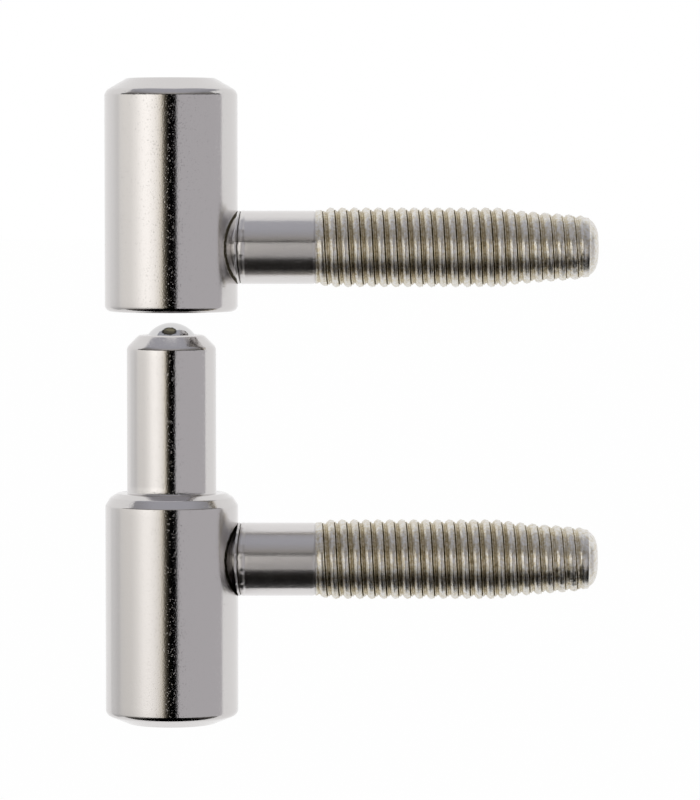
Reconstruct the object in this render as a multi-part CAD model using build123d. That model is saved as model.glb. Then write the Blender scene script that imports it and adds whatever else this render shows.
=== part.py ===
from build123d import *
import os
from math import radians, sin, sqrt, tan

# A drill-in hinge that lifts apart, in millimetres.
#
# The lower half screws into the door frame. Its barrel and pin are turned from one bar, and a steel ball is
# staked in the pin's tip. The upper half screws into the door leaf. Its barrel drops over the pin, and the
# ball carries it, so the door turns on the ball and is steadied by the pin.
#
# Z is the hinge's axis, and both screws point along +X. The origin is on the axis, in the leaf barrel's lower
# face. The halves stand apart, as when the door has just been lifted off.

# The two barrels. Their coned ends and the frame barrel's shoulder are turned with the same two cuts
BARREL_D = 16.0
BARREL_L = 28.0
CONE_INSET = 2.7  # from the wall in to the flat end
SHOULDER_INSET = 1.4  # from the wall in to the flat shoulder
CONE_ANGLE = 30.0  # main cut, from the flat end
EDGE_ANGLE = 60.0  # second cut, which eases the cone into the wall
EDGE_INSET = 0.4  # how much of the inset the second cut takes
LEAF_LIP_CHAMFER = 0.5  # lower edge of the leaf barrel

# The pin and the bore that it turns in
PIN_D = 10.75
PIN_L = 18.9  # shoulder to flat tip
PIN_TIP_CHAMFER = 1.5
PIN_FOOT_SPREAD = 0.35  # how far the pin's foot spreads over the shoulder
PIN_FOOT_HEIGHT = 1.1
PIN_CLEARANCE = 0.075  # radial, between pin and bore
BORE_MOUTH_CHAMFER = 0.8

# The ball and its staked socket
BALL_D = 7.0
BALL_PROUD = 1.45  # how far the ball stands out of the pin's tip
BALL_CLEARANCE = 0.05
SOCKET_DRILL_ANGLE = 118.0
STAKED_DEPTH = 0.75  # how far down from the tip the rim is closed in

# How the halves stand
SEATED_GAP = 0.4  # between the barrels when the door hangs
BALL_PLAY = 0.02  # left between the ball and the bore's floor then
LIFT = 21.3  # from there up to where the halves are shown

# The two wood screws. Their stations are distances from the hinge's axis
SHANK_D = 8.9
THREAD_D = 9.7
LEAF_SCREW_HEIGHT = 7.7  # screw axis above the leaf barrel's lower face
FRAME_SCREW_DROP = 8.2  # screw axis below the frame barrel's shoulder
SEAT_STATION = 6.4  # floor of the pocket that the screw stands in
THREAD_STATION = 17.0  # where the smooth shank ends
TAPER_STATION = 39.6  # where the point begins
TIP_STATION = 51.5
TIP_D = 6.8
TIP_CHAMFER = 1.3
POCKET_CLEARANCE = 0.02  # radial, round the foot of the screw

# What follows from them
barrel_r = BARREL_D / 2
pin_r = PIN_D / 2
bore_r = pin_r + PIN_CLEARANCE
ball_r = BALL_D / 2
shank_r = SHANK_D / 2
thread_r = THREAD_D / 2
tip_r = TIP_D / 2
shoulder_z = -(SEATED_GAP + LIFT)
tip_z = shoulder_z + PIN_L
ball_z = tip_z + BALL_PROUD - ball_r
bore_depth = PIN_L + BALL_PROUD - SEATED_GAP + BALL_PLAY
leaf_screw_z = LEAF_SCREW_HEIGHT
frame_screw_z = shoulder_z - FRAME_SCREW_DROP


def turned(*corners, axis=Axis.Z):
    """Turn a half section about an axis. Its corners are (distance from the hinge's axis, height)."""
    with BuildPart() as blank:
        with BuildSketch(Plane.XZ):
            with BuildLine():
                Polyline(*corners, close=True)
            make_face()
        revolve(axis=axis)
    return blank.part


def coned_end(inset, end_z, inwards):
    """The corners of a coned end, from its flat out to the wall. Inwards is the way into the metal, 1 or -1."""
    main_depth = (inset - EDGE_INSET) * tan(radians(CONE_ANGLE))
    edge_depth = EDGE_INSET * tan(radians(EDGE_ANGLE))
    return [
        (barrel_r - inset, end_z),
        (barrel_r - EDGE_INSET, end_z + inwards * main_depth),
        (barrel_r, end_z + inwards * (main_depth + edge_depth)),
    ]


def screw_pocket(height):
    """The flat-floored pocket in a barrel's side that takes the foot of a screw."""
    seat = Plane(origin=(SEAT_STATION, 0, height), z_dir=(1, 0, 0))
    outwards = (Align.CENTER, Align.CENTER, Align.MIN)
    return seat * Cylinder(shank_r + POCKET_CLEARANCE, barrel_r, align=outwards)


def leaf_barrel():
    """The upper barrel: coned at the top, with a blind bore that opens downwards."""
    top = coned_end(CONE_INSET, BARREL_L, -1)
    blank = turned(
        (0, 0),
        (barrel_r - LEAF_LIP_CHAMFER, 0),
        (barrel_r, LEAF_LIP_CHAMFER),
        *reversed(top),
        (0, BARREL_L),
    )
    bore = turned(
        (0, 0),
        (bore_r + BORE_MOUTH_CHAMFER, 0),
        (bore_r, BORE_MOUTH_CHAMFER),
        (bore_r, bore_depth),
        (0, bore_depth),
    )
    return blank - bore - screw_pocket(leaf_screw_z)


def ball_socket():
    """The ball's seat: drilled from the tip to a drill's point, then closed over the ball by staking the rim."""
    socket_r = ball_r + BALL_CLEARANCE
    half_angle = radians(SOCKET_DRILL_ANGLE / 2)
    point_z = ball_z - socket_r / sin(half_angle)
    drill_z = point_z + socket_r / tan(half_angle)
    mouth_r = sqrt(socket_r**2 - (tip_z - ball_z) ** 2)
    return turned(
        (0, point_z),
        (socket_r, drill_z),
        (socket_r, tip_z - STAKED_DEPTH),
        (mouth_r, tip_z),
        (0, tip_z),
    )


def frame_barrel():
    """The lower barrel and the hinge pin, turned in one, with the ball's socket in the tip."""
    foot_z = shoulder_z - BARREL_L
    bottom = coned_end(CONE_INSET, foot_z, 1)
    shoulder = coned_end(SHOULDER_INSET, shoulder_z, -1)
    blank = turned(
        (0, foot_z),
        *bottom,
        *reversed(shoulder),
        (pin_r + PIN_FOOT_SPREAD, shoulder_z),
        (pin_r, shoulder_z + PIN_FOOT_HEIGHT),
        (pin_r, tip_z - PIN_TIP_CHAMFER),
        (pin_r - PIN_TIP_CHAMFER, tip_z),
        (0, tip_z),
    )
    return blank - ball_socket() - screw_pocket(frame_screw_z)


def wood_screw(height):
    """A screw: smooth shank, threaded body drawn at its full diameter, and a blunt tapered point."""
    body = turned(
        (SEAT_STATION, 0),
        (SEAT_STATION, shank_r),
        (THREAD_STATION, shank_r),
        (THREAD_STATION, thread_r),
        (TAPER_STATION, thread_r),
        (TIP_STATION - TIP_CHAMFER, tip_r),
        (TIP_STATION, tip_r - TIP_CHAMFER),
        (TIP_STATION, 0),
        axis=Axis.X,
    )
    return Pos(0, 0, height) * body


def bearing_ball():
    """The steel ball that the door's weight rests on."""
    return Pos(0, 0, ball_z) * Sphere(ball_r)


pieces = {
    "leaf_knuckle": leaf_barrel(),
    "leaf_screw": wood_screw(leaf_screw_z),
    "frame_knuckle": frame_barrel(),
    "frame_screw": wood_screw(frame_screw_z),
    "bearing_ball": bearing_ball(),
}

os.makedirs("parts", exist_ok=True)
for name, piece in pieces.items():
    export_step(piece, f"parts/{name}.step")
    print(f"{name}: {piece.volume:.1f} mm3, {piece.bounding_box()}")
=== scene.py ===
# %% [markdown]
# # A lift-off hinge with two screws
#
# The hinge is two turned steel barrels. The lower one screws into a door frame and carries a pin with a
# ball in its tip. The upper one screws into the door leaf and drops over that pin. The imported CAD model
# says where each solid lies and what moves with what. This script gives every solid its finished surface.
#
# Three things make such a plain object look real, and they are the three parts of this lesson: edges that
# are truly rounded, a thread that really winds round its screw, and metal that has something to reflect.
#
# We start by loading the model, which stays as it is.

import math

import bmesh
import bpy
from mathutils import Matrix, Vector, noise


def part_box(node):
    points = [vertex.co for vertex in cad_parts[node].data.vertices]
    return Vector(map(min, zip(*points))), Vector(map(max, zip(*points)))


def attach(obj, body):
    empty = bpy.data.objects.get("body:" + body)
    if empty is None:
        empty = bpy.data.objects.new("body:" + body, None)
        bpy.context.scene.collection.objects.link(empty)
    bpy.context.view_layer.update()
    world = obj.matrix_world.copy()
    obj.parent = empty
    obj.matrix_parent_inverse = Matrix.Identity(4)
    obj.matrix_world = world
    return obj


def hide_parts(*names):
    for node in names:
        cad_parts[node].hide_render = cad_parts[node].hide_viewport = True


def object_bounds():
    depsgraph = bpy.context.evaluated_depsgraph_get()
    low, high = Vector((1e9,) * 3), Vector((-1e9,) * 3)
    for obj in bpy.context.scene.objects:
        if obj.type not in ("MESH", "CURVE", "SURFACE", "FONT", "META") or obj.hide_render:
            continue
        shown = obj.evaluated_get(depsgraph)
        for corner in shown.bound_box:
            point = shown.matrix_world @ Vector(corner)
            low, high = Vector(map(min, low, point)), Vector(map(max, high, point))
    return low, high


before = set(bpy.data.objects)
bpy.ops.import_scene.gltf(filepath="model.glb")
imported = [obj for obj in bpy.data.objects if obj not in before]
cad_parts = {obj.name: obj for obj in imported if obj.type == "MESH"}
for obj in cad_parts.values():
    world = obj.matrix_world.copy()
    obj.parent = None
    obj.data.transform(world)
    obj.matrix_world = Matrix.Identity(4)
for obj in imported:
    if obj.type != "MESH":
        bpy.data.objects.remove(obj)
cad_low, cad_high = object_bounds()
print("nodes:", sorted(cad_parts))

# %% [markdown]
# ## Sizes
#
# Blender works in metres here, and a hinge is made in millimetres, so one constant turns one into the
# other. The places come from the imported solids: a barrel's radius, where its ends lie and the height of
# each screw. What a solid leaves out, such as how softly an edge is rounded, is a size of its own,
# written beside the piece.

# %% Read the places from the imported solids
MM = 0.001

leaf_low, leaf_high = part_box("leaf_knuckle")
pin_low, pin_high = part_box("frame_knuckle")
ball_low, ball_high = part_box("bearing_ball")
screw_boxes = {"leaf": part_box("leaf_screw"), "frame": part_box("frame_screw")}

barrel_r = leaf_high.x
barrel_length = leaf_high.z - leaf_low.z
ball_r = (ball_high.z - ball_low.z) / 2
ball_z = ball_high.z - ball_r
shoulder_z = pin_low.z + barrel_length
print(f"barrel {2 * barrel_r / MM:.1f} mm across, {barrel_length / MM:.1f} mm long")
print(f"ball {2 * ball_r / MM:.1f} mm across, its centre at {ball_z / MM:.2f} mm")

# %% [markdown]
# ## Turned pieces
#
# A lathe makes a round piece from a half section, and so does bmesh's spin: a wire drawn from the axis
# out and back to the axis sweeps out a closed skin. Each corner of the wire is softened before the spin,
# with a bevel that acts on a vertex. That is cheaper and cleaner than bevelling the rings of the finished
# skin, and it gives each corner its own radius. Long straight stretches are cut up, so that the smooth
# shading of a rounding ends at the rounding and doesn't leak down the whole wall.

# %% A lathe
AROUND = 176  # facets round a turned piece
ROUNDING_STEPS = 10
LONGEST_STRETCH = 0.9 * MM


def soften(bm, corner, radius, steps=ROUNDING_STEPS):
    """Round one corner of a wire. The bevel's offset is measured along the wire, so the turn sets it."""
    before, after = (edge.other_vert(corner).co - corner.co for edge in corner.link_edges)
    turn = math.pi - before.angle(after)
    bmesh.ops.bevel(
        bm, geom=[corner], offset=radius * math.tan(turn / 2), offset_type="OFFSET",
        segments=steps, profile=0.5, affect="VERTICES", material=-1,
    )


def cut_up(bm, longest):
    """Cut the edges of a wire until none is longer than a length."""
    for edge in [e for e in bm.edges if e.calc_length() > longest]:
        cuts = int(edge.calc_length() / longest)
        bmesh.ops.subdivide_edges(bm, edges=[edge], cuts=cuts)


def turned(section):
    """Spin a half section about Z. Each corner is (radius, height, rounding), in metres."""
    bm = bmesh.new()
    corners = [bm.verts.new((r, 0, z)) for r, z, _ in section]
    for pair in zip(corners, corners[1:]):
        bm.edges.new(pair)
    for corner, (_, _, rounding) in zip(corners, section):
        if rounding:
            soften(bm, corner, rounding)
    cut_up(bm, LONGEST_STRETCH)
    bmesh.ops.spin(
        bm, geom=bm.verts[:] + bm.edges[:], cent=(0, 0, 0), axis=(0, 0, 1),
        angle=2 * math.pi, steps=AROUND, use_merge=True,
    )
    return bm


# %% [markdown]
# Every mesh is finished the same way. Points that coincide are merged, which also closes the poles. Then
# the normals are turned outwards, the surface is shaded smooth, and edges that turn by more than 30
# degrees stay crisp, as the rim of a bore does.

# %% Turn a bmesh into a finished piece
CRISP_ANGLE = math.radians(30)
MERGE = 0.0005 * MM


def to_object(bm, name, material):
    """Make an object of a bmesh and one material, and put it in the scene at the origin."""
    mesh = bpy.data.meshes.new(name)
    bm.to_mesh(mesh)
    bm.free()
    mesh.materials.append(material)
    thing = bpy.data.objects.new(name, mesh)
    bpy.context.collection.objects.link(thing)
    return thing


def finish_piece(bm, name, material):
    """Merge, close and shade a piece of the hinge."""
    bmesh.ops.remove_doubles(bm, verts=bm.verts, dist=MERGE)
    bmesh.ops.recalc_face_normals(bm, faces=bm.faces)
    open_edges = sum(not edge.is_manifold for edge in bm.edges)
    piece = to_object(bm, name, material)
    mesh = piece.data
    mesh.polygons.foreach_set("use_smooth", [True] * len(mesh.polygons))
    mesh.set_sharp_from_angle(angle=CRISP_ANGLE)
    print(f"{name}: {len(mesh.vertices)} points, {len(mesh.polygons)} faces, {open_edges} open edges")
    return piece


# %% [markdown]
# ## Colours and nodes
#
# A colour picked from a paint program is sRGB, and Blender's sockets want linear light, so one function
# does the conversion. A second one adds a node, sets its values and wires it, which keeps each material
# readable as a list of what happens to the surface.

# %% Helpers for materials
def srgb(hex_colour):
    """An sRGB hex colour as linear RGBA."""
    channels = [int(hex_colour[i:i + 2], 16) / 255 for i in (1, 3, 5)]
    linear = [c / 12.92 if c <= 0.04045 else ((c + 0.055) / 1.055) ** 2.4 for c in channels]
    return (*linear, 1.0)


def add_node(tree, kind, settings=None, links=None):
    """Add a node. A setting is an input, by name or number, or else a property of the node."""
    node = tree.nodes.new(kind)
    for key, value in (settings or {}).items():
        if isinstance(key, int) or key in node.inputs:
            node.inputs[key].default_value = value
        else:
            setattr(node, key, value)
    for key, socket in (links or {}).items():
        tree.links.new(socket, node.inputs[key])
    return node


def metal(name, colour, roughness, stretch=0.0, turn=0.0):
    """A bare metal material. Returns it with its tree, its shader and the object's own coordinates."""
    material = bpy.data.materials.new(name)
    material.use_nodes = True
    tree = material.node_tree
    shader = tree.nodes["Principled BSDF"]
    shader.inputs["Base Color"].default_value = srgb(colour)
    shader.inputs["Metallic"].default_value = 1.0
    shader.inputs["Roughness"].default_value = roughness
    shader.inputs["Anisotropic"].default_value = stretch
    shader.inputs["Anisotropic Rotation"].default_value = turn
    place = add_node(tree, "ShaderNodeTexCoord").outputs["Object"]
    return material, tree, shader, place


# %% [markdown]
# ## Nickel-plated barrels
#
# The barrels are free-cutting steel, turned, tumbled smooth and plated with bright nickel. Nickel is a
# slightly warm mirror that gives back about two thirds of the light. Tumbling leaves it a little soft and
# grained, so the edge of a dark reflection looks ragged and has bright specks in it. The lathe's feed
# marks run round the barrel, and they smear a reflection along the barrel's length, not across it: that
# is what Anisotropic does, with its stretch turned by a quarter from the direction of the marks.
#
# Three bumps are added up: a slow waviness of the wall, a grain as fine as 0.15 mm, and sparse pits a
# little wider than that. Real tumbling marks are finer still, and these are drawn as coarse as they need
# to be to show.

# %% The barrels' material
UM = 0.001 * MM
WAVE_SIZE = 5 * MM
WAVE_HEIGHT = 4 * UM
GRAIN_SIZE = 0.15 * MM
GRAIN_HEIGHT = 6 * UM
PIT_SIZE = 0.22 * MM
PIT_HEIGHT = 5.5 * UM
PIT_LEVEL = 0.36  # pits lie where their noise is lower than this
PIT_RIM = 0.08  # and this is how much of the noise their rims take up
QUARTER_TURN = 0.25


def grain(tree, place, size, height, below=None, detail=2.0):
    """A bump of cloudy noise. Returns its normal, added to the normal of the bump below it."""
    cloud = add_node(tree, "ShaderNodeTexNoise", {"Scale": 1 / size, "Detail": detail}, {"Vector": place})
    links = {"Height": cloud.outputs["Fac"]}
    if below:
        links["Normal"] = below
    return add_node(tree, "ShaderNodeBump", {"Distance": height}, links).outputs["Normal"]


def pits(tree, place, height, level, below):
    """A bump of sparse round pits: only the lowest hollows of the noise dent the surface."""
    cloud = add_node(tree, "ShaderNodeTexNoise", {"Scale": 1 / PIT_SIZE, "Detail": 1.0}, {"Vector": place})
    hollow = add_node(
        tree, "ShaderNodeMapRange",
        {"From Min": level - PIT_RIM, "From Max": level, "To Min": 0.0, "To Max": 1.0},
        {"Value": cloud.outputs["Fac"]},
    )
    return add_node(
        tree, "ShaderNodeBump", {"Distance": height}, {"Height": hollow.outputs["Result"], "Normal": below},
    ).outputs["Normal"]


def plated_barrel():
    """Bright nickel over turned and tumbled steel."""
    material, tree, shader, place = metal(
        "nickel_plated_turned_steel", "#CFCCCB", roughness=0.12, stretch=0.4, turn=QUARTER_TURN,
    )
    tangent = add_node(tree, "ShaderNodeTangent", {"direction_type": "RADIAL", "axis": "Z"})
    tree.links.new(tangent.outputs["Tangent"], shader.inputs["Tangent"])
    wavy = grain(tree, place, WAVE_SIZE, WAVE_HEIGHT)
    grained = grain(tree, place, GRAIN_SIZE, GRAIN_HEIGHT, wavy)
    tree.links.new(pits(tree, place, PIT_HEIGHT, PIT_LEVEL, grained), shader.inputs["Normal"])
    return material


nickel_barrel = plated_barrel()
print("made", nickel_barrel.name)

# %% [markdown]
# ## The screws' metal
#
# The screws are headed wire with a thread rolled into it, then plated with the rest. The smooth shank is
# a mirror with fine drawing marks round it, so it smears reflections along the screw. The rolled thread
# has been squeezed and folded between dies: it is duller and yellower and scratched along the thread,
# with patchy dirt, and painted shade darkens its fold and its roots. An attribute written by the thread's
# own mesh code says how much painted shade a point gets: most in the fold, less in the roots and none on
# the shank. Where the screw is welded to its barrel, the corner and the crease of the weld get a
# brown-black, almost matt metal, partly weld scale and partly painted shade, which takes the shine away.

# %% The screws' materials
SHANK_GRAIN = 0.14 * MM
SHANK_GRAIN_HEIGHT = 8 * UM
SHANK_PIT_LEVEL = 0.38
THREAD_GRAIN = 0.12 * MM
ROUGH_GRAIN_HEIGHT = 12 * UM  # on the thread and on the weld's dark corner
STRAND_WIDTH = 0.12 * MM
STRAND_LENGTH = 1.1 * MM
STRAND_HEIGHT = 16 * UM
DIRT_SIZE = 0.35 * MM


def plated_shank():
    """Bright nickel over drawn wire."""
    material, tree, shader, place = metal(
        "nickel_plated_drawn_wire", "#DAD7D6", roughness=0.30, stretch=1.0, turn=QUARTER_TURN,
    )
    tangent = add_node(tree, "ShaderNodeTangent", {"direction_type": "RADIAL", "axis": "X"})
    tree.links.new(tangent.outputs["Tangent"], shader.inputs["Tangent"])
    grained = grain(tree, place, SHANK_GRAIN, SHANK_GRAIN_HEIGHT)
    tree.links.new(pits(tree, place, PIT_HEIGHT, SHANK_PIT_LEVEL, grained), shader.inputs["Normal"])
    return material


def weld_scale_and_shade():
    """Brown-black, almost matt metal for the weld's corner: partly weld scale and partly painted shade."""
    material, tree, shader, place = metal("weld_scale_and_painted_shade", "#4A4536", roughness=0.55)
    tree.links.new(grain(tree, place, SHANK_GRAIN, ROUGH_GRAIN_HEIGHT), shader.inputs["Normal"])
    return material


def rolled_thread():
    """Nickel over a rolled thread: duller and yellower, with painted shade in the fold and the roots."""
    material, tree, shader, place = metal("nickel_plated_rolled_thread", "#C4BFB2", roughness=0.33)
    painted_shade = add_node(tree, "ShaderNodeAttribute", {"attribute_name": "painted_shade"}).outputs["Fac"]
    dirt_and_shade = add_node(tree, "ShaderNodeTexNoise", {"Scale": 1 / DIRT_SIZE, "Detail": 4.0}, {"Vector": place})
    patchy = add_node(
        tree, "ShaderNodeMath", {"operation": "MULTIPLY_ADD", 1: 1.3, 2: -0.5}, {0: dirt_and_shade.outputs["Fac"]},
    )
    amount = add_node(
        tree, "ShaderNodeMath", {"operation": "ADD", "use_clamp": True},
        {0: painted_shade, 1: patchy.outputs["Value"]},
    )
    # The ramp runs from pale nickel through yellow to the dark brown of the painted shade; the patchy noise
    # adds dirt.
    tone = add_node(tree, "ShaderNodeValToRGB", {}, {"Fac": amount.outputs["Value"]})
    ramp = tone.color_ramp
    ramp.elements[0].position = 0.05
    ramp.elements[0].color = srgb("#E4E2DF")
    ramp.elements[1].position = 1.0
    ramp.elements[1].color = srgb("#62563C")
    ramp.elements.new(0.55).color = srgb("#C8BC9F")
    tree.links.new(tone.outputs["Color"], shader.inputs["Base Color"])
    strands = add_node(
        tree, "ShaderNodeMapping", {"Scale": (1 / STRAND_WIDTH, 1 / STRAND_LENGTH, 1 / STRAND_LENGTH)},
        {"Vector": place},
    )
    streaky = grain(tree, strands.outputs["Vector"], 1.0, STRAND_HEIGHT, detail=3.0)
    grained = grain(tree, place, THREAD_GRAIN, ROUGH_GRAIN_HEIGHT, streaky, detail=3.0)
    tree.links.new(pits(tree, place, ROUGH_GRAIN_HEIGHT, PIT_LEVEL, grained), shader.inputs["Normal"])
    return material


screw_metals = [plated_shank(), rolled_thread(), weld_scale_and_shade()]
SHANK, THREAD, SCALE_AND_SHADE = range(3)  # their places in the list, which a face's material index gives
print("made", [made.name for made in screw_metals])

# %% [markdown]
# ## The ball
#
# A bearing ball is hardened chromium steel, ground and lapped, and it is the best mirror on the hinge. A
# dark oval is painted on the side that faces the room, as a painted reflection. The oval is a distance
# measured in a squashed copy of the object's coordinates, dark at its rim and olive inside.

# %% The ball's material
DARK_REFLECTION_CENTRE = (-0.16, -2.35, 2.56)  # in millimetres, from the ball's centre
DARK_REFLECTION_HALF_SIZE = (1.0, 0.8, 0.62)
DARK_REFLECTION_RAG = 0.3 * MM  # how finely its rim is torn
BALL_COLOUR = "#D3D2D2"


def polished_ball():
    """Lapped bearing steel with a painted dark reflection."""
    material, tree, shader, place = metal("lapped_bearing_steel", BALL_COLOUR, roughness=0.06)
    centre = Vector(DARK_REFLECTION_CENTRE) * MM + Vector((0, 0, ball_z))
    from_dark_reflection = add_node(
        tree, "ShaderNodeVectorMath", {"operation": "SUBTRACT", 1: centre}, {0: place},
    )
    squashed = add_node(
        tree, "ShaderNodeVectorMath", {"operation": "DIVIDE", 1: Vector(DARK_REFLECTION_HALF_SIZE) * MM},
        {0: from_dark_reflection.outputs["Vector"]},
    )
    away = add_node(
        tree, "ShaderNodeVectorMath", {"operation": "LENGTH"}, {0: squashed.outputs["Vector"]},
    )
    rim_noise = add_node(tree, "ShaderNodeTexNoise", {"Scale": 1 / DARK_REFLECTION_RAG, "Detail": 3.0}, {"Vector": place})
    uneven = add_node(
        tree, "ShaderNodeMath", {"operation": "MULTIPLY_ADD", 1: 0.5, 2: -0.25}, {0: rim_noise.outputs["Fac"]},
    )
    edged = add_node(
        tree, "ShaderNodeMath", {"operation": "ADD"}, {0: away.outputs["Value"], 1: uneven.outputs["Value"]},
    )
    # The painted reflection: olive inside, dark at its rim, the ball's own colour outside.
    tone = add_node(tree, "ShaderNodeValToRGB", {}, {"Fac": edged.outputs["Value"]})
    ramp = tone.color_ramp
    ramp.elements[0].position = 0.55
    ramp.elements[0].color = srgb("#6B6656")
    ramp.elements[1].position = 1.0
    ramp.elements[1].color = srgb(BALL_COLOUR)
    ramp.elements.new(0.8).color = srgb("#26241C")
    tree.links.new(tone.outputs["Color"], shader.inputs["Base Color"])
    return material


ball_steel = polished_ball()
print("made", ball_steel.name)

# %% [markdown]
# ## The leaf barrel
#
# Its section is drawn in one go, from the flat top over the coned edge, down the wall, round the lip and
# back up the bore. The cone and the soft edge below it tilt upwards, so they catch the grey of the
# ceiling as a band.

# %% Turn the leaf barrel
CONE_INSET = 2.7 * MM
TOP_SLOPE = math.tan(math.radians(30))
TOP_ROUND = 1.05 * MM
RIM_ROUND = 0.6 * MM
LIP_ROUND = 0.76 * MM
BORE_R = 5.45 * MM
BORE_DEPTH = 19.97 * MM
BORE_MOUTH = 0.8 * MM
BORE_EDGE_ROUND = 0.1 * MM
BORE_FLOOR_ROUND = 0.2 * MM


def leaf_barrel():
    """The upper barrel, with its blind bore."""
    return turned([
        (0, leaf_high.z, 0),
        (barrel_r - CONE_INSET, leaf_high.z, RIM_ROUND),
        (barrel_r, leaf_high.z - CONE_INSET * TOP_SLOPE, TOP_ROUND),
        (barrel_r, leaf_low.z, LIP_ROUND),
        (BORE_R + BORE_MOUTH, leaf_low.z, BORE_EDGE_ROUND),
        (BORE_R, leaf_low.z + BORE_MOUTH, BORE_EDGE_ROUND),
        (BORE_R, leaf_low.z + BORE_DEPTH, BORE_FLOOR_ROUND),
        (0, leaf_low.z + BORE_DEPTH, 0),
    ])


leaf_knuckle = finish_piece(leaf_barrel(), "turned_leaf_barrel", nickel_barrel)
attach(leaf_knuckle, "leaf_half")
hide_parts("leaf_knuckle")

# %% [markdown]
# ## The frame barrel and its pin
#
# This piece comes off the lathe whole: barrel, shoulder and pin. Two cuts slope the shoulder's edge, the
# outer one steep and the inner one flat. The pin swells a little where it meets the shoulder, its tip is
# chamfered, and the rim of the drilled tip is pressed in over the ball.

# %% Turn the frame barrel
PIN_R = 5.375 * MM
FOOT_SPREAD = 0.14 * MM
FOOT_HEIGHT = 0.12 * MM
FOOT_ROUND = 0.15 * MM
SHOULDER_DROP = 0.15 * MM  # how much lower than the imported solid's the flat is drawn
SHOULDER_CUTS = [  # inset, depth and rounding, in millimetres, from the wall in to the flat
    (0, 1.5, 0.3), (0.6, 0.55, 0.5), (1.5, 0, 0.6),
]
BOTTOM_SLOPE = math.tan(math.radians(22.5))
BOTTOM_ROUND = 0.75 * MM
TIP_CHAMFER = 1.5 * MM
CHAMFER_ROUND = 0.8 * MM
TIP_RIM_ROUND = 0.7 * MM
SOCKET_R = 3.55 * MM
MOUTH_R = 2.97 * MM  # where the staked rim comes nearest to the ball
MOUTH_FLARE = 0.15 * MM
MOUTH_DEPTH = 0.1 * MM
MOUTH_ROUND = 0.05 * MM
STAKED_DEPTH = 0.75 * MM
SOCKET_FLOOR = ball_z - 2.0 * MM
SOCKET_POINT = ball_z - 4.14 * MM


def frame_barrel():
    """The lower barrel and the pin, with the ball's socket in its tip."""
    flat_z = shoulder_z - SHOULDER_DROP
    shoulder = [
        (barrel_r - inset * MM, flat_z - depth * MM, rounding * MM)
        for inset, depth, rounding in SHOULDER_CUTS
    ]
    return turned([
        (0, pin_low.z, 0),
        (barrel_r - CONE_INSET, pin_low.z, RIM_ROUND),
        (barrel_r, pin_low.z + CONE_INSET * BOTTOM_SLOPE, BOTTOM_ROUND),
        *shoulder,
        (PIN_R + FOOT_SPREAD, flat_z, 0),
        (PIN_R + 0.25 * FOOT_SPREAD, flat_z + 0.35 * FOOT_HEIGHT, FOOT_ROUND),
        (PIN_R, flat_z + FOOT_HEIGHT, 0),
        (PIN_R, pin_high.z - TIP_CHAMFER, CHAMFER_ROUND),
        (PIN_R - TIP_CHAMFER, pin_high.z, TIP_RIM_ROUND),
        (MOUTH_R + MOUTH_FLARE, pin_high.z, MOUTH_ROUND),
        (MOUTH_R, pin_high.z - MOUTH_DEPTH, 0),
        (SOCKET_R, pin_high.z - STAKED_DEPTH, 0),
        (SOCKET_R, SOCKET_FLOOR, 0),
        (0, SOCKET_POINT, 0),
    ])


frame_knuckle = finish_piece(frame_barrel(), "turned_frame_barrel", nickel_barrel)
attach(frame_knuckle, "frame_half")
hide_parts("frame_knuckle")

# %% [markdown]
# ## The ball in its socket
#
# An icosphere has no poles, so its reflections stay even all over.

# %% Make the ball
def lapped_ball():
    """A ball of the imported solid's size, in its place."""
    bm = bmesh.new()
    bmesh.ops.create_icosphere(bm, subdivisions=6, radius=ball_r, matrix=Matrix.Translation((0, 0, ball_z)))
    return bm


bearing_ball = finish_piece(lapped_ball(), "lapped_ball", ball_steel)
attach(bearing_ball, "ball")
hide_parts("bearing_ball")

# %% [markdown]
# ## The thread
#
# This thread is rolled, and it shows. The flank towards the barrel is steep and the one towards the tip
# is long. Halfway down the long one the metal that the die pushed over has lapped: a thin bright bead and
# beside it a fold, a dark line as fine as a hair. One pitch of that outline is a wire along the screw,
# its corners softened as on the turned pieces. Spin winds it once round the screw and moves it along by
# one pitch meanwhile, which is how a screw differs from a wheel. Copies of that turn, set one pitch
# apart, share their edges, and merging them leaves one continuous skin.
#
# Seen from the tip, going clockwise goes deeper into the wood: the thread is right-handed.

# %% Wind one pitch of thread round the screw
PITCH = 1.435 * MM
CREST_R = 4.83 * MM
THREAD_DEPTH = 0.74 * MM
SHANK_R = 4.40 * MM
PER_TURN = 84
THREAD_START = 17.35 * MM
THREAD_END = 50.15 * MM
LAP_STATION = 21.35 * MM  # where one lap crosses the front of the screw
FRONT = 0.25  # of a turn, from the top of the screw to its front
OUTLINE_STRETCH = 0.13 * MM
SMALL_ROUNDING = 0.1  # in millimetres: below this, two steps round a corner as well as four
THREAD_OUTLINE = [  # share of the pitch, height above the root and rounding, in millimetres
    (0.00, 0.26, 0), (0.035, 0.39, 0.02), (0.11, 0.47, 0.05), (0.31, 0.06, 0.16), (0.40, 0.46, 0.12),
    (0.66, 0.75, 0.24), (0.89, 0.61, 0.03), (0.93, 0.66, 0.03), (0.965, 0.57, 0.02), (1.00, 0.26, 0),
]


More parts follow.
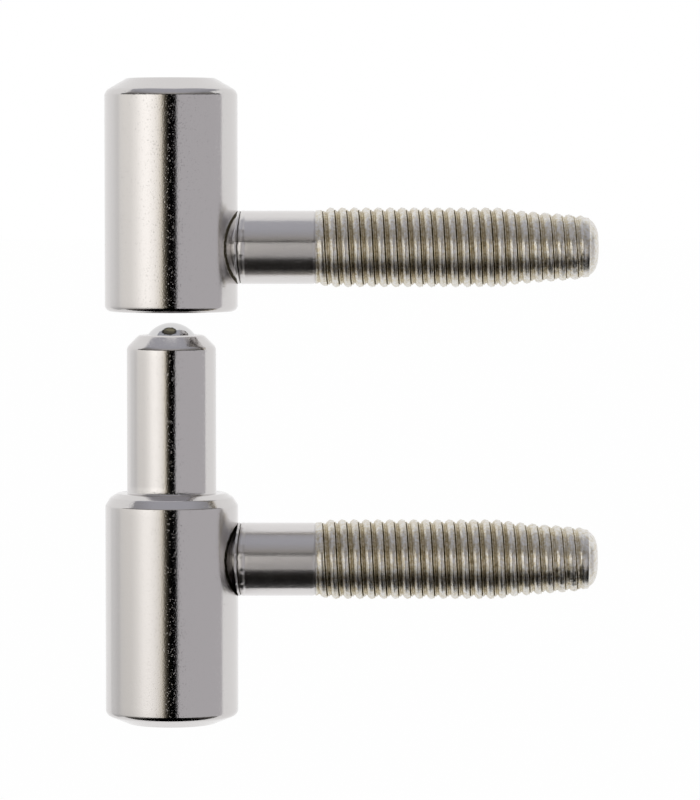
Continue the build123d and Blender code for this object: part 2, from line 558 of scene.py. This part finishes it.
def wind_thread():
    """A helical skin, longer at both ends than the thread will be."""
    bm = bmesh.new()
    first = LAP_STATION - PITCH * (math.ceil((LAP_STATION - THREAD_START) / PITCH) + 1 + FRONT)
    corners = [
        bm.verts.new((first + share * PITCH, 0, CREST_R - THREAD_DEPTH + height * MM))
        for share, height, _ in THREAD_OUTLINE
    ]
    for pair in zip(corners, corners[1:]):
        bm.edges.new(pair)
    for corner, (_, _, rounding) in zip(corners, THREAD_OUTLINE):
        if rounding:
            soften(bm, corner, rounding * MM, steps=2 if rounding < SMALL_ROUNDING else 4)
    cut_up(bm, OUTLINE_STRETCH)
    bmesh.ops.spin(
        bm, geom=bm.verts[:] + bm.edges[:], cent=(0, 0, 0), axis=(1, 0, 0),
        dvec=(PITCH / PER_TURN, 0, 0), angle=2 * math.pi, steps=PER_TURN,
    )
    one_turn = bm.verts[:] + bm.edges[:] + bm.faces[:]
    for turn in range(1, math.ceil((THREAD_END - THREAD_START) / PITCH) + 3):
        copy = bmesh.ops.duplicate(bm, geom=one_turn)["geom"]
        points = [item for item in copy if isinstance(item, bmesh.types.BMVert)]
        bmesh.ops.translate(bm, verts=points, vec=(turn * PITCH, 0, 0))
    bmesh.ops.remove_doubles(bm, verts=bm.verts, dist=MERGE)
    return bm


# %% [markdown]
# The skin is still a plain parallel thread. Three things are done to it, point by point. It fades into
# the shank within a turn, crests more slowly than roots. It narrows towards the tip, where rolling has
# filled it less. And it is roughened: by a little everywhere, and by more near the tip, where the wood
# has worn it. Each point also gets its share of painted shade: most in the fold, less in the roots and
# less towards the tip.

# %% Shape the thread
TAPER_START = 39.4 * MM
TAPER_DROP = 0.16 * MM  # the quick fall where the full thread ends
TAPER_DROP_LENGTH = 2.3 * MM
TAPER_SLOPE = 0.085
TIP_DEPTH_SHARE = 0.6  # how much of the thread's depth is left at the tip
CREST_LEAD = 0.3 * MM  # the crest begins to rise this much before the thread
CREST_RISE = 2.4 * MM
ROOT_SINK = 0.4 * MM
ENDING_LEAD = 1.0 * MM  # the last turn begins to even out this much before the end
ENDING_LENGTH = 0.8 * MM
ENDING_LEVEL = 0.55  # of the depth
ROUGH = 0.02  # in millimetres
ROUGH_WITH_WEAR = 0.06
COARSE_LUMP, FINE_LUMP = 0.5 * MM, 0.2 * MM
# the size of the patches in which the fold's painted shade is stronger or weaker
FOLD_SHADE_PATCH = 0.8 * MM
FOLD_HALF_WIDTH = 0.07  # of the pitch: how far the fold's painted shade reaches
ROOT_SHADE = 0.6  # painted shade in the roots, against 1 in the fold
SHADE_FADE_AT_TIP = 0.4  # how much of the painted shade fades out towards the tip


def fade(x, start, length):
    """0 before start, 1 beyond start plus length, and smooth between them."""
    t = min(max((x - start) / length, 0.0), 1.0)
    return t * t * (3 - 2 * t)


def lumpy(point, size, seed):
    """Smooth noise between about -1 and 1, with lumps of one size."""
    return noise.noise(point / size + Vector((seed, 2 * seed, 3 * seed)))


def shape_thread(bm, seed):
    """Taper, fade and roughen a wound thread, and write how much painted shade each point gets."""
    painted_shade_layer = bm.verts.layers.float.new("painted_shade")
    for vert in bm.verts:
        x, radius = vert.co.x, vert.co.yz.length
        turned_by = math.atan2(-vert.co.y, vert.co.z) / (2 * math.pi)
        share = ((x - LAP_STATION) / PITCH + FRONT - turned_by) % 1.0
        height = (radius - CREST_R + THREAD_DEPTH) / THREAD_DEPTH
        along = max(x - TAPER_START, 0.0)
        worn = min(along / (THREAD_END - TAPER_START), 1.0)
        crest = CREST_R - TAPER_DROP * fade(x, TAPER_START, TAPER_DROP_LENGTH) - TAPER_SLOPE * along
        depth = THREAD_DEPTH * (1 - (1 - TIP_DEPTH_SHARE) * worn)
        root = crest - depth
        rise = fade(x, THREAD_START - CREST_LEAD, CREST_RISE)
        sink = fade(x, THREAD_START, ROOT_SINK)
        crest_here = SHANK_R + (crest - SHANK_R) * rise
        root_here = SHANK_R + (root - SHANK_R) * sink
        ending = fade(x, THREAD_END - ENDING_LEAD, ENDING_LENGTH)
        shaped = root_here + (crest_here - root_here) * height
        shaped += (root + ENDING_LEVEL * depth - shaped) * ending
        rough = (ROUGH + ROUGH_WITH_WEAR * worn) * sink * (1 - ending)
        lumps = lumpy(vert.co, COARSE_LUMP, seed) + 0.6 * lumpy(vert.co, FINE_LUMP, seed)
        shaped += rough * MM * lumps
        # Painted shade: strongest in the fold, some in the roots, patchy, and fading towards the tip.
        nearness = max(1 - min(share, 1 - share) / FOLD_HALF_WIDTH, 0.0)
        nearness *= 0.75 + 0.5 * lumpy(vert.co, FOLD_SHADE_PATCH, seed)
        dirt_and_shade = nearness + ROOT_SHADE * (1 - height)
        vert[painted_shade_layer] = dirt_and_shade * sink * (1 - ending) * (1 - SHADE_FADE_AT_TIP * worn)
        scale = shaped / radius
        vert.co.y *= scale
        vert.co.z *= scale


# %% [markdown]
# ## Shank, collar and tip
#
# The skin is cut square at both ends. From the open edge at the shank, new rings are drawn out towards
# the barrel: a smooth shank, then the ragged collar of metal that the weld squeezed out, then a step down
# to the thinner foot, which sinks into the barrel. The step leaves a narrow dark corner beside the
# barrel's wall. From the other edge the rings close in to a blunt round tip. Drawing out an edge is an
# extrusion whose new points are moved to a station along the screw and to a radius.
#
# The weld has squeezed metal out only where the barrel's wall falls back beside the screw, at the front
# and at the back. So the collar's height follows how far the wall has fallen back, and above and below it
# comes to nothing.

# %% Draw out the ends of a screw
NECK = [  # station from the hinge's axis, and radius, in millimetres
    (17.30, 4.30), (17.22, 4.35), (17.1, 4.385), (16.95, 4.40),
]
COLLAR = [  # the same, from the shank down to the foot
    (9.4, 4.40), (9.12, 4.40), (9.03, 4.39), (8.95, 4.38), (8.88, 4.40), (8.80, 4.47), (8.72, 4.52),
    (8.64, 4.53), (8.56, 4.51), (8.49, 4.47), (8.43, 4.40), (8.38, 4.32), (8.34, 4.27), (8.30, 4.32),
    (8.26, 4.42), (8.21, 4.50), (8.15, 4.54), (8.09, 4.54), (8.04, 4.46), (8.01, 4.3), (8.0, 3.9),
    (7.98, 3.4), (7.92, 3.25), (7.7, 3.22), (7.2, 3.22), (6.8, 3.22), (6.45, 3.22),
]
SCALE_AND_SHADE_STATIONS = [(8.003, 8.03), (8.31, 8.37)]  # weld scale and painted shade: the corner's rim and the collar's crease
TIP = [  # station and radius, from the last turn out to the end
    (50.35, 3.30), (50.55, 3.14), (50.72, 2.98), (50.88, 2.78), (51.02, 2.52), (51.14, 2.22), (51.24, 1.9),
    (51.30, 1.5), (51.34, 0.9),
]
COLLAR_END = 9.2 * MM  # beyond this, the shank is smooth
PULL_START, PULL_LENGTH = 8.1 * MM, 1.0 * MM  # where the collar stops following the wall
WALL_PULL = 0.33  # how far the collar follows the wall back
FULL_HOLLOW = 0.7 * MM  # where the wall has fallen back this far, the collar is at its highest
LEAST_SWELLING = 0.15  # of the collar's height, where the wall hasn't fallen back
COARSE_TEAR, FINE_TEAR = 0.7 * MM, 0.28 * MM
AT_STATION = 0.01 * MM  # how near to a station an edge lies on it


def boundary(bm, x):
    """The open edges that lie at a station along the screw."""
    return [e for e in bm.edges if e.is_boundary and abs(e.verts[0].co.x - x) < AT_STATION]


def draw_out(bm, edges, rings):
    """Extrude a ring of open edges through a list of stations and radii."""
    for station, radius in rings:
        made = bmesh.ops.extrude_edge_only(bm, edges=edges)["geom"]
        edges = [item for item in made if isinstance(item, bmesh.types.BMEdge)]
        for vert in {v for edge in edges for v in edge.verts}:
            scale = radius * MM / vert.co.yz.length
            vert.co = (station * MM, vert.co.y * scale, vert.co.z * scale)
    bmesh.ops.contextual_create(bm, geom=edges)


def squeeze_out(bm, seed, raggedness):
    """Let the collar rise only where the barrel's wall has fallen back, and make it ragged."""
    for vert in bm.verts:
        if vert.co.x > COLLAR_END:
            continue
        radius = vert.co.yz.length
        side = min(abs(vert.co.y), SHANK_R)
        hollow = barrel_r - math.sqrt(barrel_r ** 2 - side ** 2)
        share = min(hollow / FULL_HOLLOW, 1.0)
        crest = max(radius - SHANK_R, 0.0)
        around = Vector((0.3 * vert.co.x, vert.co.y, vert.co.z))
        torn = lumpy(around, COARSE_TEAR, seed) + 0.7 * lumpy(around, FINE_TEAR, seed)
        sunk = 1 - fade(vert.co.x, PULL_START, PULL_LENGTH)
        vert.co.x += sunk * (raggedness * torn * (0.35 * crest + 0.06 * MM) - WALL_PULL * hollow)
        if crest:
            swelling = LEAST_SWELLING + (1 - LEAST_SWELLING) * share
            swollen = SHANK_R + crest * swelling * (1 + raggedness * torn)
            vert.co.y *= swollen / radius
            vert.co.z *= swollen / radius


# %% [markdown]
# Both screws are the same part, so one function builds them: wind, shape, cut square and draw out the
# ends. Only the seed of the noise and the raggedness of the weld differ. Each face learns here which of
# the three metals it is made of.

# %% Build both screws
def wood_screw(height, seed, raggedness):
    """A finished screw along X, at a height above the origin."""
    bm = wind_thread()
    shape_thread(bm, seed)
    for station, drop_beyond in [(THREAD_START, False), (THREAD_END, True)]:
        everything = bm.verts[:] + bm.edges[:] + bm.faces[:]
        bmesh.ops.bisect_plane(
            bm, geom=everything, plane_co=(station, 0, 0), plane_no=(1, 0, 0),
            clear_inner=not drop_beyond, clear_outer=drop_beyond,
        )
    draw_out(bm, boundary(bm, THREAD_START), NECK + COLLAR)
    draw_out(bm, boundary(bm, THREAD_END), TIP)
    for face in bm.faces:
        station = face.calc_center_median().x
        face.material_index = THREAD if station > THREAD_START else SHANK
        # the corner's rim and the collar's crease get painted shade over weld scale
        if any(first * MM < station < last * MM for first, last in SCALE_AND_SHADE_STATIONS):
            face.material_index = SCALE_AND_SHADE
    squeeze_out(bm, seed, raggedness)
    bmesh.ops.translate(bm, verts=bm.verts, vec=(0, 0, height))
    return bm


SEEDS = {"leaf": 11.0, "frame": 37.0}
RAGGEDNESS = {"leaf": 0.8, "frame": 1.1}
for half, (low, high) in screw_boxes.items():
    bm = wood_screw((low.z + high.z) / 2, SEEDS[half], RAGGEDNESS[half])
    screw = finish_piece(bm, f"rolled_{half}_screw", screw_metals[SHANK])
    for metal_of_screw in screw_metals[1:]:
        screw.data.materials.append(metal_of_screw)
    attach(screw, f"{half}_half")
    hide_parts(f"{half}_screw")

# %% [markdown]
# ## A studio for polished metal
#
# Polished metal has almost no colour of its own: it shows the room. So the room is built from large cards
# that only reflections can see, all about a metre away. To the left stands a broad warm softbox, to the
# right a grey card, and between them a narrow black gap, which draws the dark line down each barrel. Over
# the hinge hangs a lilac-grey ceiling panel, in front lies black cloth, and a dark wall closes the gaps
# behind the cards on the camera's side. All the rest is white.
#
# Each upright card is part of a big cylinder round the hinge. A vertical edge, spun through part of a
# turn, makes it. Angles are given as seen from the hinge: 0 towards the camera, positive to the right,
# and up or down from level.

# %% Cards for the metal to reflect
CARD_STEPS = 48  # facets along a curved card


def light(name, colour, strength):
    """A card that glows evenly."""
    material = bpy.data.materials.new(name)
    material.use_nodes = True
    tree = material.node_tree
    tree.nodes.clear()
    glow = add_node(tree, "ShaderNodeEmission", {"Color": srgb(colour), "Strength": strength})
    add_node(tree, "ShaderNodeOutputMaterial", {}, {"Surface": glow.outputs["Emission"]})
    return material, tree, glow


def reflect_only(card):
    """Let only reflections see a card, and leave it out of the object."""
    card.visible_camera = False
    card.visible_diffuse = False
    card.visible_shadow = False
    card.visible_transmission = False


def finish_card(bm, name, material):
    """Put a card in the scene, for reflections only."""
    card = to_object(bm, name, material)
    reflect_only(card)
    return card


def curved_card(name, distance, side, rise, material):
    """A piece of a cylinder round the hinge. Side and rise are each a pair of angles, in degrees."""
    bm = bmesh.new()
    first = math.radians(side[0] - 90)
    foot, top = (distance * math.tan(math.radians(angle)) for angle in rise)
    ends = [
        bm.verts.new((distance * math.cos(first), distance * math.sin(first), z)) for z in (foot, top)
    ]
    bm.edges.new(ends)
    bmesh.ops.spin(
        bm, geom=bm.verts[:] + bm.edges[:], cent=(0, 0, 0), axis=(0, 0, 1),
        angle=math.radians(side[1] - side[0]), steps=CARD_STEPS,
    )
    return finish_card(bm, name, material)


def flat_card(name, height, corners, material):
    """A level card from its corners, as seen from above."""
    bm = bmesh.new()
    bmesh.ops.contextual_create(bm, geom=[bm.verts.new((x, y, height)) for x, y in corners])
    return finish_card(bm, name, material)


# %% [markdown]
# The softbox isn't even. It is brightest a third of the way from the gap, and dimmer lower down. A colour
# ramp follows the angle round the hinge, which arctangent gives from the card's own coordinates.

# %% The softbox, the grey card and the black cloth
CARD_DISTANCE, CARD_RISE = 1.0, (-35, 14.5)
SOFTBOX_SIDE = (-130, -4)
GREY_SIDE = (12.0, 100)
ROOM_DISTANCE, ROOM_RISE, ROOM_SIDE = 1.6, (-42, 24), (-97, 100)
SOFTBOX_LEVELS = [  # angle, strength and how warm the light is
    (-130, 1.00, 0.0), (-116, 0.95, 0.0), (-107, 0.87, 0.2), (-100, 0.86, 0.3), (-98, 0.98, 0.6),
    (-86, 1.04, 1.0), (-72, 1.08, 1.0), (-60, 1.26, 1.0), (-48, 1.54, 1.0), (-38, 1.58, 1.0),
    (-28, 1.42, 1.2), (-20, 1.20, 2.0), (-14, 0.90, 4.0), (-11, 0.25, 6.0), (-9, 0.10, 7.0),
    (-4, 0.01, 8.0),
]
BRIGHTEST = 1.6
WARM_GREEN, WARM_BLUE = 0.018, 0.052  # what one step of warmth takes from green and from blue
CARD_FOOT, CARD_KNEE, CARD_TOP = -0.5, -0.14, 0.02  # heights between which the softbox gets brighter
FOOT_SHARE, KNEE_SHARE = 0.7, 0.84
CEILING_TONES = [(0.47, 0.475, 0.52, 1), (0.43, 0.41, 0.39, 1)]  # linear, overhead and further out
CEILING_TONE_START, CEILING_TONE_END = 0.7, 1.2  # in metres from the hinge
CLOTH_HEIGHT = -0.58
CLOTH_CORNERS = [(-1.4, -1.4), (1.4, -1.4), (1.4, 0.12), (-1.4, 0.12)]


def softbox():
    """A warm softbox with a bright heart and a brown edge at the gap."""
    material, tree, glow = light("softbox", "#FFFFFF", 1.0)
    place = add_node(tree, "ShaderNodeTexCoord").outputs["Object"]
    split = add_node(tree, "ShaderNodeSeparateXYZ", {}, {"Vector": place})
    front = add_node(tree, "ShaderNodeMath", {"operation": "MULTIPLY", 1: -1.0}, {0: split.outputs["Y"]})
    angle = add_node(
        tree, "ShaderNodeMath", {"operation": "ARCTAN2"}, {0: split.outputs["X"], 1: front.outputs["Value"]},
    )
    share = add_node(
        tree, "ShaderNodeMapRange",
        {"From Min": math.radians(SOFTBOX_SIDE[0]), "From Max": math.radians(SOFTBOX_SIDE[1])},
        {"Value": angle.outputs["Value"]},
    )
    level = add_node(tree, "ShaderNodeValToRGB", {}, {"Fac": share.outputs["Result"]})
    ramp = level.color_ramp
    ramp.elements.remove(ramp.elements[1])
    for side, amount, warmth in SOFTBOX_LEVELS:
        spot = (side - SOFTBOX_SIDE[0]) / (SOFTBOX_SIDE[1] - SOFTBOX_SIDE[0])
        stop = ramp.elements.new(spot) if spot else ramp.elements[0]
        red = amount / BRIGHTEST
        stop.color = (red, red * (1 - WARM_GREEN * warmth), red * (1 - WARM_BLUE * warmth), 1)
    tree.links.new(level.outputs["Color"], glow.inputs["Color"])
    lower = add_node(
        tree, "ShaderNodeMapRange",
        {"From Min": CARD_FOOT, "From Max": CARD_KNEE, "To Min": FOOT_SHARE, "To Max": 1.0},
        {"Value": split.outputs["Z"]},
    )
    upper = add_node(
        tree, "ShaderNodeMapRange",
        {"From Min": CARD_KNEE, "From Max": CARD_TOP, "To Min": KNEE_SHARE * BRIGHTEST, "To Max": BRIGHTEST},
        {"Value": split.outputs["Z"]},
    )
    strength = add_node(
        tree, "ShaderNodeMath", {"operation": "MULTIPLY"},
        {0: lower.outputs["Result"], 1: upper.outputs["Result"]},
    )
    tree.links.new(strength.outputs["Value"], glow.inputs["Strength"])
    return material


def vary_aside(tree, glow, near, far, middle, sides):
    """Let a card's strength go from its middle value, nearer than near, to its side value, beyond far."""
    place = add_node(tree, "ShaderNodeTexCoord").outputs["Object"]
    split = add_node(tree, "ShaderNodeSeparateXYZ", {}, {"Vector": place})
    aside = add_node(tree, "ShaderNodeMath", {"operation": "ABSOLUTE"}, {0: split.outputs["X"]})
    strength = add_node(
        tree, "ShaderNodeMapRange", {"From Min": near, "From Max": far, "To Min": middle, "To Max": sides},
        {"Value": aside.outputs["Value"]},
    )
    tree.links.new(strength.outputs["Result"], glow.inputs["Strength"])


def ceiling():
    """A grey ceiling: lilac overhead, browner towards the camera and dimmer to both sides."""
    material, tree, glow = light("ceiling", "#FFFFFF", 1.0)
    place = add_node(tree, "ShaderNodeTexCoord").outputs["Object"]
    away = add_node(tree, "ShaderNodeVectorMath", {"operation": "LENGTH"}, {0: place})
    share = add_node(
        tree, "ShaderNodeMapRange", {"From Min": CEILING_TONE_START, "From Max": CEILING_TONE_END},
        {"Value": away.outputs["Value"]},
    )
    tone = add_node(tree, "ShaderNodeValToRGB", {}, {"Fac": share.outputs["Result"]})
    for element, colour in zip(tone.color_ramp.elements, CEILING_TONES):
        element.color = colour
    tree.links.new(tone.outputs["Color"], glow.inputs["Color"])
    vary_aside(tree, glow, near=0.3, far=0.8, middle=1.0, sides=0.6)
    return material


def cloth():
    """Black cloth, which catches some light at both sides."""
    material, tree, glow = light("black_cloth", "#FFF8F0", 0.0)
    vary_aside(tree, glow, near=0.36, far=0.65, middle=0.0, sides=0.12)
    return material


nothing = light("dark_corner_of_the_room", "#000000", 0.0)[0]
grey_board = light("grey_board", "#FDFBFF", 0.60)[0]
ceiling_grey = ceiling()

curved_card("dark_room", ROOM_DISTANCE, ROOM_SIDE, ROOM_RISE, nothing)
curved_card("left_softbox", CARD_DISTANCE, SOFTBOX_SIDE, CARD_RISE, softbox())
curved_card("right_grey_board", CARD_DISTANCE, GREY_SIDE, CARD_RISE, grey_board)
flat_card("cloth_below", CLOTH_HEIGHT, CLOTH_CORNERS, cloth())
print("made the upright cards and the cloth")

# %% [markdown]
# The ceiling is half a disc on the camera's side, so its front edge is equally high all round. Two small
# wings carry it on behind the hinge to the left and right, where the photographed edges still show its
# grey.

# %% Hang the ceiling
CEILING_HEIGHT, CEILING_RADIUS = 0.56, 1.38
RIGHT_WING = [(0.06, 0), (0.62, 0), (0.5, 0.42), (0.2, 0.2)]
LEFT_WING = [(-0.06, 0), (-0.6, 0), (-0.34, 0.2), (-0.15, 0.1)]


def half_disc(name, height, radius, material):
    """Half a disc over the hinge, on the camera's side."""
    bm = bmesh.new()
    ends = [bm.verts.new((-1 * MM, 0, height)), bm.verts.new((-radius, 0, height))]
    bm.edges.new(ends)
    bmesh.ops.spin(
        bm, geom=bm.verts[:] + bm.edges[:], cent=(0, 0, 0), axis=(0, 0, 1),
        angle=math.pi, steps=CARD_STEPS,
    )
    return finish_card(bm, name, material)


half_disc("ceiling", CEILING_HEIGHT, CEILING_RADIUS, ceiling_grey)
flat_card("wing_right", CEILING_HEIGHT, RIGHT_WING, ceiling_grey)
flat_card("wing_left", CEILING_HEIGHT, LEFT_WING, ceiling_grey)

# %% [markdown]
# ## Floor and world
#
# The floor is pale and lies well below the hinge, which hangs by its screw. Where the camera looks at it
# directly it glows as strongly as white paper, mixed with its own shading, so it looks white and still
# takes the hinge's shadow. The world is white too.

# %% Lay the floor and light the world
FLOOR_DROP = 32 * MM
FLOOR_HALF_WIDTH = 6
PLAIN_WHITE_SHARE = 0.94  # of what the camera sees of the floor


def pale_floor():
    """White paper: its own shading with a share of plain white for the camera."""
    material = bpy.data.materials.new("white_paper")
    material.use_nodes = True
    tree = material.node_tree
    shader = tree.nodes["Principled BSDF"]
    shader.inputs["Base Color"].default_value = srgb("#F4F4F4")
    shader.inputs["Roughness"].default_value = 0.9
    glow = add_node(tree, "ShaderNodeEmission", {"Color": (1, 1, 1, 1), "Strength": 1.0})
    seen = add_node(tree, "ShaderNodeLightPath").outputs["Is Camera Ray"]
    share = add_node(tree, "ShaderNodeMath", {"operation": "MULTIPLY", 1: PLAIN_WHITE_SHARE}, {0: seen})
    mixed = add_node(
        tree, "ShaderNodeMixShader", {},
        {0: share.outputs["Value"], 1: shader.outputs["BSDF"], 2: glow.outputs["Emission"]},
    )
    tree.links.new(mixed.outputs["Shader"], tree.nodes["Material Output"].inputs["Surface"])
    return material


floor_bm = bmesh.new()
bmesh.ops.create_grid(floor_bm, x_segments=1, y_segments=1, size=FLOOR_HALF_WIDTH)
bmesh.ops.translate(floor_bm, verts=floor_bm.verts, vec=(0, 0, cad_low.z - FLOOR_DROP))
floor = to_object(floor_bm, "floor", pale_floor())
floor.visible_glossy = False

world = bpy.data.worlds.new("white_studio")
world.use_nodes = True
world.node_tree.nodes["Background"].inputs["Color"].default_value = (1, 1, 1, 1)
world.node_tree.nodes["Background"].inputs["Strength"].default_value = 1.0
bpy.context.scene.world = world
bpy.context.scene.view_settings.view_transform = "Standard"
print(f"floor at {(cad_low.z - FLOOR_DROP) / MM:.1f} mm")

# %% [markdown]
# The two halves stand one above the other only to be shown together. In the ball and on the tip of the
# pin, the leaf barrel would fill the whole sky with its dark bore, so reflections are made to look past
# it.

# %% Keep the bore out of the ball
leaf_knuckle.visible_glossy = False
print(leaf_knuckle.name, "is left out of reflections")

# %% [markdown]
# ## The camera
#
# A long lens from 0.55 m away flattens the perspective. The camera stands level with the leaf barrel, to
# the right of both barrels, and tips down by almost three degrees, so it looks down a little on the frame
# barrel's shoulder. Its place follows from where the hinge's axis and one level line fall in the picture,
# at a known number of pixels to the millimetre.

# %% Place the camera
IMAGE_WIDTH, IMAGE_HEIGHT = 700, 800
DISTANCE = 550 * MM
PIXELS_PER_MM = 8.315
AXIS_PIXEL = 171.3
HORIZON_PIXEL = 170.0
LEAF_FACE_PIXEL = 311.2  # where the leaf barrel's lower face lies

camera_data = bpy.data.cameras.new("long_lens")
camera_data.sensor_width = 36.0
focal_pixels = PIXELS_PER_MM * DISTANCE / MM
camera_data.lens = camera_data.sensor_width * focal_pixels / IMAGE_HEIGHT
camera = bpy.data.objects.new("camera", camera_data)
bpy.context.collection.objects.link(camera)
tilt = math.atan((IMAGE_HEIGHT / 2 - HORIZON_PIXEL) / focal_pixels)
camera.location = (
    (IMAGE_WIDTH / 2 - AXIS_PIXEL) / PIXELS_PER_MM * MM,
    -DISTANCE,
    (LEAF_FACE_PIXEL - HORIZON_PIXEL) / PIXELS_PER_MM * MM,
)
camera.rotation_euler = (math.pi / 2 - tilt, 0, 0)
bpy.context.scene.camera = camera
print(f"lens {camera_data.lens:.0f} mm, tipped down {math.degrees(tilt):.2f} degrees")

# %% [markdown]
# ## The imported box
#
# The box of the imported solids is printed, in millimetres. The finished pieces must not be
# bigger than the imported solids.

# %% Print the imported box
print("CAD box", [round(c / MM, 2) for c in (*cad_low, *cad_high)])
